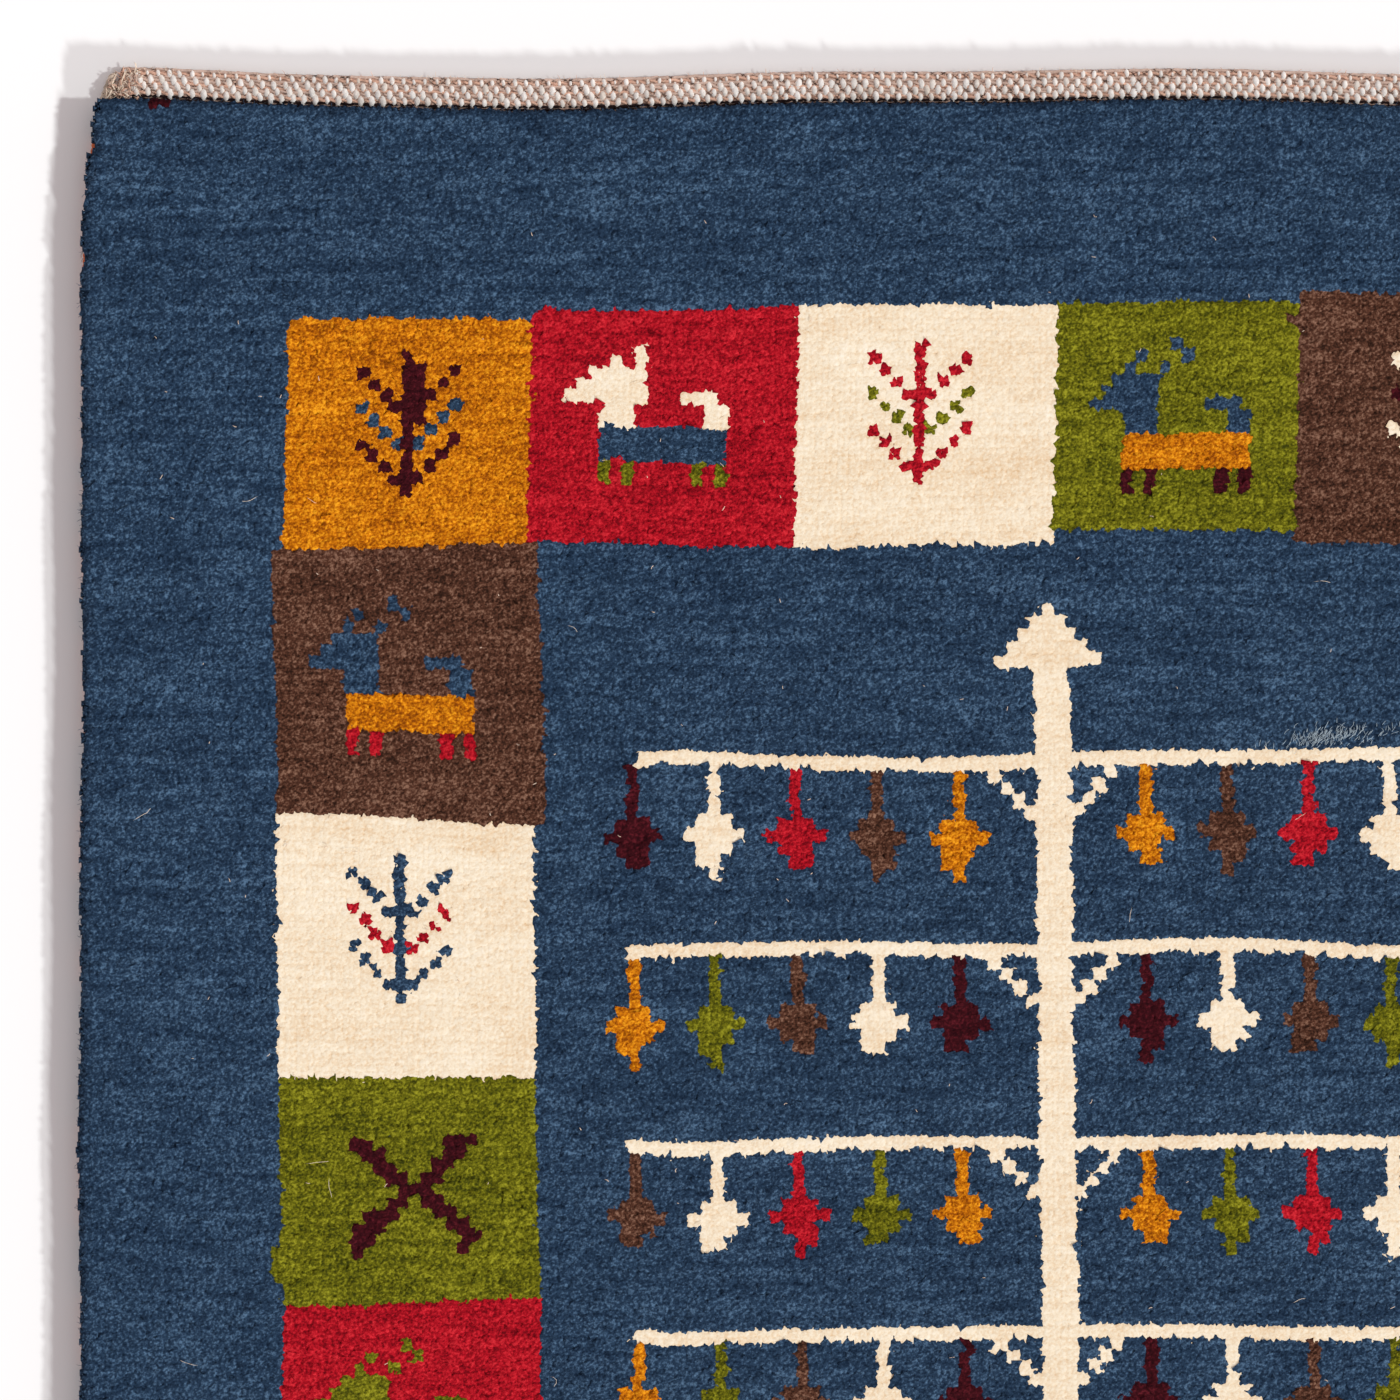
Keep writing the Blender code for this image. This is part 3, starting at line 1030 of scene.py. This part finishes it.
def build_band_wefts(material):
    """The rust and brown wefts between the warps, and the dark wefts that lock the pile's first row: partly
    the real dark weft, partly painted shade under the pile's edge.
    """
    share = np.linspace(0.0, 1.0, 2 * COLUMNS + 1)
    lines, yarns = [], []
    for end in (-1, 1):
        for row in range(2 * BAND_ROWS + 3):
            weave = np.sin(2 * math.pi * (share * COLUMNS + 0.25 * (row % 4)))
            from_end = BAND_PITCH * row / 2 + BAND_START + 0.00030 * weave
            from_end = from_end + rng.normal(0, 0.00008, len(share))
            x, y = band_place(share, from_end, end)
            z = WEFT_HEIGHT + 0.00020 * weave + rng.normal(0, 0.0001, len(share))
            lines.append(np.stack([x, y, z], -1))
            # The last wefts, under the pile's edge, are dark: partly real dark weft, partly painted shade.
            yarns.append(DARK_WEFT_AND_SHADE if row >= 2 * BAND_ROWS else (WALNUT, RUST, WALNUT)[row % 3])
    paths = np.stack(lines)
    radii = np.full((len(paths), paths.shape[1] - 1), WEFT_RADIUS)
    points, faces = tubes(paths, radii, 4)
    return painted(make_object("band_wefts", points, faces, material), yarns)


def build_selvedge(name, side, material):
    """The overcast cord: close turns of yarn, blue with lengths of rust, and pale at its ends."""
    sides = 8
    middle_x = side_x(0.0, side) - side * (SELVEDGE_INSET + SELVEDGE_WIDTH / 2)
    low, high = end_y(middle_x, -1) + CORD_SHORT, end_y(middle_x, 1) - CORD_SHORT
    count = 2 * round((high - low) / OVERCAST_TURN)
    y = np.linspace(low, high, count + 1)
    groove, uneven = OVERCAST_GROOVE
    crest = 1 - groove * (np.arange(count + 1) % 2) + rng.normal(0, uneven, count + 1)
    from_end = np.minimum(y - low, high - y)
    taper, smallest, gain = CORD_TAPER
    crest = crest * (smallest + gain * np.clip(from_end / taper, 0, 1))
    centre = side_x(y, side) - side * (SELVEDGE_INSET + SELVEDGE_WIDTH / 2)
    angle = 2 * math.pi * np.arange(sides) / sides
    x = centre[:, None] + SELVEDGE_WIDTH / 2 * crest[:, None] * np.cos(angle)
    z = GROUND_THICKNESS / 2 * (1 + crest[:, None] * np.sin(angle))
    slant = OVERCAST_SLANT * np.cos(angle)
    points = np.stack([x, np.broadcast_to(y[:, None], x.shape) + slant, z], -1)
    number = np.arange(x.size).reshape(x.shape)
    after = np.roll(number, -1, axis=1)
    quads = np.stack([number[:-1], after[:-1], after[1:], number[1:]], -1).reshape(-1, 4)
    caps = np.stack([number[0, ::-1], number[-1]])
    obj = make_object(name, points.reshape(-1, 3), [quads, caps], material)
    rusty = rng.random(count // OVERCAST_RUN + 2) < OVERCAST_RUSTY
    runs = np.repeat(rusty, OVERCAST_RUN)[: count + 1]
    if side < 0:
        runs = runs | (thinning(y) > 0.0003)
    yarns = np.where(runs[:, None], OVERCAST_RUST, YARNS["blue"][1])
    bare = np.clip((BARE_END - from_end) / 0.003, 0, 1)[:, None]
    yarns = yarns * (1 - bare) + bare * (np.array(CREAM) * rng.uniform(0.6, 1.0, (count + 1, 1)))
    return painted(obj, yarns)


# Loose fibres.


def loose_fibres(name, starts, headings, lengths, radius, material, yarns, lift=0.0004, curl=0.9):
    """Fine bent hairs that lie on the surface from their starts, along their headings."""
    count, steps = len(starts), 5
    bend = rng.normal(0, curl, count)
    path = np.zeros((count, steps, 3))
    path[:, 0] = starts
    heading = headings.copy()
    for step in range(1, steps):
        heading = heading + bend / steps + rng.normal(0, 0.18, count)
        stride = (lengths / (steps - 1))[:, None]
        ahead = np.stack([np.cos(heading), np.sin(heading)], -1)
        path[:, step, :2] = path[:, step - 1, :2] + stride * ahead
        path[:, step, 2] = starts[:, 2] + lift * math.sin(math.pi * step / steps)
    radii = np.full((count, steps - 1), 1.0) * np.broadcast_to(np.asarray(radius), (count,))[:, None]
    points, faces = tubes(path, radii, 3)
    return painted(make_object(name, points, faces, material), yarns)


def build_frays(material):
    """The unravelled yarn ends at the corners of the bands."""
    each = 110
    starts, headings, yarns = [], [], []
    for end in (-1, 1):
        for side in (-1, 1):
            from_end = rng.uniform(0.0004, 0.0088, each)
            _, y = band_place(0.5, from_end, end)
            x = side_x(y, side) - side * rng.uniform(0.0024, 0.0110, each)
            starts.append(np.stack([x, y, rng.uniform(0.0024, 0.0036, each)], -1))
            headings.append(rng.uniform(0, 2 * math.pi, each))
            yarns.append(np.array((CREAM, CREAM, CREAM, RUST, WALNUT))[rng.integers(0, 5, each)])
    starts, headings, yarns = np.concatenate(starts), np.concatenate(headings), np.concatenate(yarns)
    count = len(starts)
    lengths, radii = rng.uniform(0.0015, 0.0042, count), rng.uniform(0.00010, 0.00034, count)
    return loose_fibres("corner_frays", starts, headings, lengths, radii, material, yarns, 0.0006, 2.2)


def build_band_fuzz(material):
    """Short hairs along the bands' outer edges and between their warps."""
    each = 500
    starts, headings = [], []
    for end in (-1, 1):
        x, y = band_place(rng.uniform(0.0, 1.0, each), rng.uniform(0.0, 0.0022, each), end)
        starts.append(np.stack([x, y, rng.uniform(0.0015, 0.003, each)], -1))
        headings.append(end * math.pi / 2 + rng.normal(0, 0.8, each))
    starts, headings = np.concatenate(starts), np.concatenate(headings)
    lengths = rng.uniform(0.0006, 0.0022, len(starts))
    yarns = np.array((CREAM, RUST))[rng.integers(0, 2, len(starts))]
    return loose_fibres("band_fuzz", starts, headings, lengths, 0.00008, material, yarns)


def build_strays(material):
    """Pale hairs and kemp here and there on the pile, and a rubbed patch above the first branch."""
    long, short, patch = 60, 300, 260
    counts = (long, short, patch)
    rubbed = rng.normal(0, 0.0078, patch)
    patch_x, patch_y = photo_x(PHOTO_RUBBED[0]), photo_y(PHOTO_RUBBED[1])
    x = np.concatenate([rng.uniform(-0.28, 0.28, long + short), patch_x + rubbed])
    y = np.concatenate([rng.uniform(-0.42, 0.42, long + short), patch_y + rng.normal(0, 0.0013, patch)])
    y[-patch:] += 0.09 * rubbed
    shortest = np.repeat((0.003, 0.0006, 0.0010), counts)
    longest = np.repeat((0.008, 0.0018, 0.0026), counts)
    lengths = rng.uniform(shortest, longest)
    headings = np.concatenate([rng.uniform(0, 2 * math.pi, long + short), rng.normal(1.15, 0.3, patch)])
    radii, curl = np.repeat((0.00006, 0.00013, 0.00006), counts), np.repeat((0.9, 0.9, 0.2), counts)
    yarns = np.repeat((CREAM, KEMP, RUBBED), counts, axis=0)
    starts = np.stack([x, y, pile_height(x, y) + 0.0001], -1)
    return loose_fibres("stray_hairs", starts, headings, lengths, radii, material, yarns, 0.0003, curl)


def build_edge_fuzz(material):
    """Fibres that stand out from the pile's sides."""
    starts, headings = [], []
    for side in (-1, 1):
        y = rng.uniform(-0.438, 0.438, 480)
        x = side_x(y, side) - side * 0.0008
        starts.append(np.stack([x, y, rng.uniform(0.004, 0.0095, len(y))], -1))
        headings.append((0.0 if side > 0 else math.pi) + rng.normal(0, 0.6, len(y)))
    for end in (-1, 1):
        x = rng.uniform(-0.293, 0.293, 290)
        y = end_y(x, end) - end * (BAND_LENGTH + 0.0010)
        starts.append(np.stack([x, y, rng.uniform(0.005, 0.0095, len(x))], -1))
        headings.append(end * math.pi / 2 + rng.normal(0, 0.6, len(x)))
    starts, headings = np.concatenate(starts), np.concatenate(headings)
    lengths = rng.uniform(0.0008, 0.0022, len(starts))
    yarns = np.tile(LOOSE_BLUE, (len(starts), 1))
    return loose_fibres("edge_fuzz", starts, headings, lengths, 0.00007, material, yarns, 0.0003)


# The studio.


def add_sun(name, slopes, strength):
    """A lamp whose shadows of a thing 1 high run slopes = (left, up the rug) far."""
    light = bpy.data.lights.new(name, "SUN")
    light.energy = strength * math.sqrt(1 + slopes[0] ** 2 + slopes[1] ** 2) * math.pi
    light.angle = math.radians(SUN_SOFTNESS)
    light.color = SUN_COLOUR
    lamp = bpy.data.objects.new(name, light)
    bpy.context.scene.collection.objects.link(lamp)
    lamp.rotation_euler = Vector((-slopes[0], slopes[1], -1)).to_track_quat("-Z", "Y").to_euler()


def build_studio():
    """A plain pale floor, soft light from the right and below as the photograph is seen, and its camera."""
    scene = bpy.context.scene
    bpy.ops.mesh.primitive_plane_add(size=FLOOR_SIZE, location=(0, 0, FLOOR_Z))
    floor = bpy.context.object
    floor.name = "studio_floor"
    material, _, _, shader = new_material("studio_floor")
    fill(shader, {"Base Color": FLOOR_COLOUR, "Roughness": 1.0, "Specular IOR Level": 0.0})
    floor.data.materials.append(material)

    world = bpy.data.worlds.new("studio")
    world.use_nodes = True
    fill(world.node_tree.nodes["Background"], {"Color": SURROUND_COLOUR, "Strength": SURROUND_STRENGTH})
    scene.world = world
    for name, (slopes, strength) in SUNS.items():
        add_sun(name, slopes, strength)

    middle_x, middle_y = photo_x(PHOTO_SIZE / 2), photo_y(PHOTO_SIZE / 2)
    camera = bpy.data.cameras.new("camera")
    camera.sensor_fit = "HORIZONTAL"
    camera.angle = 2 * math.atan(PHOTO_SIZE * PHOTO_SCALE / 2 / CAMERA_DISTANCE)
    camera.clip_start, camera.clip_end = 0.01, 20
    eye = bpy.data.objects.new("camera", camera)
    scene.collection.objects.link(eye)
    eye.location = (middle_x, middle_y, PILE_TOP + CAMERA_DISTANCE)
    scene.camera = eye
    scene.view_settings.view_transform = "Standard"


def main():
    chart = knot_chart()
    wool = {name: pile_material(f"wool_{name}", YARNS[name], *DYE[name]) for name in YARN_NAMES}
    thread, hair = thread_material("thread", 0.0003), thread_material("hair", 0.0001)
    pile = build_pile(chart, wool)
    rim = build_rim(wool["blue"])
    roots = build_core(wool["blue"])
    ground = build_ground(chart, ground_material())
    warps = build_band_warps(thread)
    wefts = build_band_wefts(thread)
    left = build_selvedge("overcast_left", -1, thread)
    right = build_selvedge("overcast_right", 1, thread)
    frays = build_frays(hair)
    band_fuzz = build_band_fuzz(hair)
    strays = build_strays(hair)
    edge_fuzz = build_edge_fuzz(hair)

    laid = [*pile, rim, roots, warps, wefts, left, right, frays, band_fuzz, strays, edge_fuzz]
    for piece in (*laid, ground):
        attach(piece, "root")
    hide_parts("woven_ground")
    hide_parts("knotted_pile")
    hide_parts("selvedge_left")
    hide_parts("selvedge_right")
    build_studio()


main()
